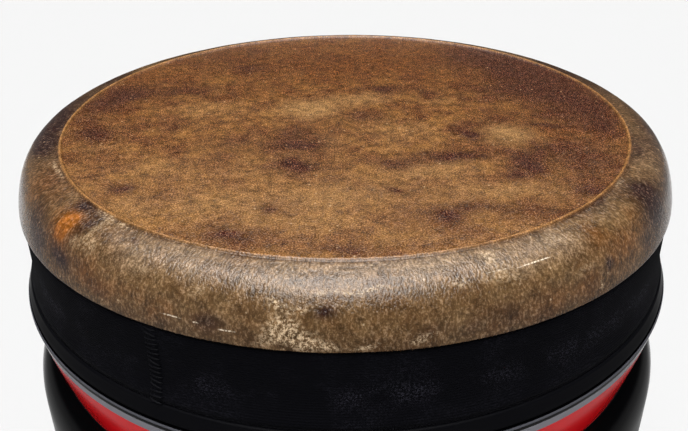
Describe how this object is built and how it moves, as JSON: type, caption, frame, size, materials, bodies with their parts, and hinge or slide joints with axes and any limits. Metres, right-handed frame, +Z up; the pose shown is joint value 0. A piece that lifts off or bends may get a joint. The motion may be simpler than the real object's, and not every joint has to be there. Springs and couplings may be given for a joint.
{
  "type": "hand drum",
  "caption": "Round hand drum with a thick mottled hide head, a black knit band and ring below it, a grey and red striped neck, and a black shell that is open underneath.",
  "frame": {"origin": "centre of the open foot, on the surface that the drum stands on", "axes": "+Z up along the drum's axis; the drum is round, so +X and +Y are any two directions at right angles"},
  "size_m": [0.2662, 0.2662, 0.275],
  "materials": {
    "hide": "mottled brown rawhide, low sheen",
    "knit": "black stretch knit, matte",
    "ring": "black moulded plastic, satin",
    "shell": "black moulded plastic, glossy, with a grey and a red stripe round the neck"
  },
  "bodies": {
    "root": {"hide_head": "hide", "knit_band": "knit", "rim_ring": "ring", "drum_shell": "shell"}
  },
  "joints": []
}
